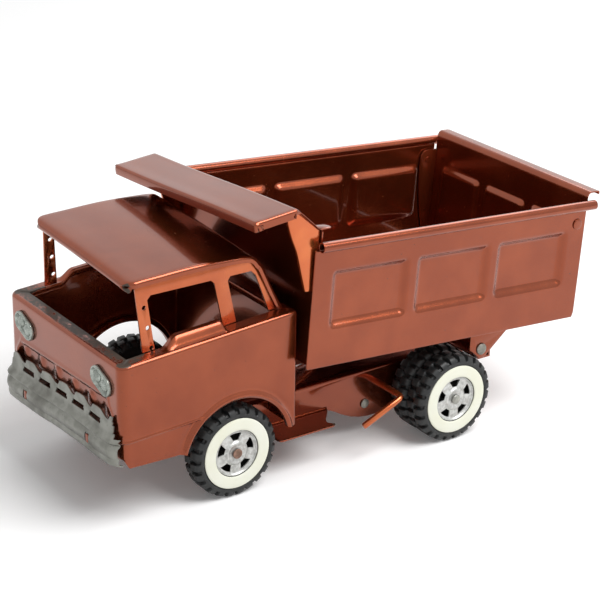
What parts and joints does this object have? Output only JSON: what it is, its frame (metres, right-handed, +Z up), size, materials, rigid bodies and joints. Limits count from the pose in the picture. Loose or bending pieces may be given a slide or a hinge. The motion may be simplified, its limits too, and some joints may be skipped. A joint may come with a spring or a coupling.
{
  "type": "toy dump truck",
  "caption": "Pressed-steel toy dump truck with a hollow cab, tipping bed with canopy, swinging tailgate, side lever and rolling wheels with dual rears.",
  "frame": {"origin": "centre of the bounding box in plan, on the plane the tyres stand on", "axes": "+Z up, the truck faces -Y, its left side with the lever is +X"},
  "size_m": [0.165, 0.3546, 0.1786],
  "materials": {
    "copper_enamel": "metallic copper-brown baked enamel, worn at the edges",
    "dull_zinc": "bare dull zinc-grey pressed steel",
    "plated_silver": "mottled silver plating",
    "axle_steel": "tarnished steel",
    "tyre_rubber": "black moulded rubber",
    "whitewall_vinyl": "cream-white vinyl ring"
  },
  "bodies": {
    "chassis": {"chassis_frame": "copper_enamel", "rear_crossmember": "copper_enamel", "chassis_rivet_left": "copper_enamel", "chassis_rivet_right": "copper_enamel", "cab_body": "copper_enamel", "cab_roof": "copper_enamel", "cab_side_frame_left": "copper_enamel", "cab_side_frame_right": "copper_enamel", "grille_bumper": "dull_zinc", "headlight_left": "plated_silver", "headlight_right": "plated_silver", "front_axle": "axle_steel", "rear_axle": "dull_zinc"},
    "front_wheel_left": {"front_tyre_left": "tyre_rubber", "front_hub_left": "plated_silver", "front_whitewall_left": "whitewall_vinyl"},
    "front_wheel_right": {"front_tyre_right": "tyre_rubber", "front_hub_right": "plated_silver", "front_whitewall_right": "whitewall_vinyl"},
    "rear_outer_wheel_left": {"rear_outer_tyre_left": "tyre_rubber", "rear_outer_hub_left": "plated_silver", "rear_outer_whitewall_left": "whitewall_vinyl"},
    "rear_outer_wheel_right": {"rear_outer_tyre_right": "tyre_rubber", "rear_outer_hub_right": "plated_silver", "rear_outer_whitewall_right": "whitewall_vinyl"},
    "rear_inner_wheel_left": {"rear_inner_tyre_left": "tyre_rubber", "rear_inner_hub_left": "plated_silver"},
    "rear_inner_wheel_right": {"rear_inner_tyre_right": "tyre_rubber", "rear_inner_hub_right": "plated_silver"},
    "bed": {"bed_body": "copper_enamel", "bed_front_panel": "copper_enamel", "bed_canopy": "copper_enamel", "canopy_cheek_left": "copper_enamel", "canopy_cheek_right": "copper_enamel", "pivot_ear_left": "copper_enamel", "pivot_ear_right": "copper_enamel", "pivot_rivet_left": "dull_zinc", "pivot_rivet_right": "dull_zinc", "tailgate_rivet_left": "copper_enamel", "tailgate_rivet_right": "copper_enamel"},
    "tailgate": {"tailgate": "copper_enamel"},
    "lever": {"lever_rod": "copper_enamel", "lever_retainer": "dull_zinc"}
  },
  "joints": [
    {"name": "front_wheel_left_spin", "type": "hinge", "parent": "chassis", "child": "front_wheel_left", "pos_m": [0.0585, -0.0917, 0.0285], "axis": [1, 0, 0], "continuous": true},
    {"name": "front_wheel_right_spin", "type": "hinge", "parent": "chassis", "child": "front_wheel_right", "pos_m": [-0.0585, -0.0917, 0.0285], "axis": [1, 0, 0], "continuous": true},
    {"name": "rear_outer_wheel_left_spin", "type": "hinge", "parent": "chassis", "child": "rear_outer_wheel_left", "pos_m": [0.0715, 0.0633, 0.0285], "axis": [1, 0, 0], "continuous": true},
    {"name": "rear_outer_wheel_right_spin", "type": "hinge", "parent": "chassis", "child": "rear_outer_wheel_right", "pos_m": [-0.0715, 0.0633, 0.0285], "axis": [1, 0, 0], "continuous": true},
    {"name": "rear_inner_wheel_left_spin", "type": "hinge", "parent": "chassis", "child": "rear_inner_wheel_left", "pos_m": [0.0549, 0.0633, 0.0285], "axis": [1, 0, 0], "continuous": true},
    {"name": "rear_inner_wheel_right_spin", "type": "hinge", "parent": "chassis", "child": "rear_inner_wheel_right", "pos_m": [-0.0549, 0.0633, 0.0285], "axis": [1, 0, 0], "continuous": true},
    {"name": "bed_tilt", "type": "hinge", "parent": "chassis", "child": "bed", "pos_m": [0, 0.0893, 0.0535], "axis": [-1, 0, 0], "range_deg": [-2, 31]},
    {"name": "lever_turn", "type": "hinge", "parent": "chassis", "child": "lever", "pos_m": [0, 0.0268, 0.0365], "axis": [-1, 0, 0], "range_deg": [-4.5, 63]},
    {"name": "tailgate_swing", "type": "hinge", "parent": "bed", "child": "tailgate", "pos_m": [0, 0.15763, 0.12611], "axis": [1, 0, 0], "range_deg": [0, 60]}
  ],
  "couplings": [
    {"joint": "lever_turn", "follows": "bed_tilt", "ratio": 2}
  ]
}
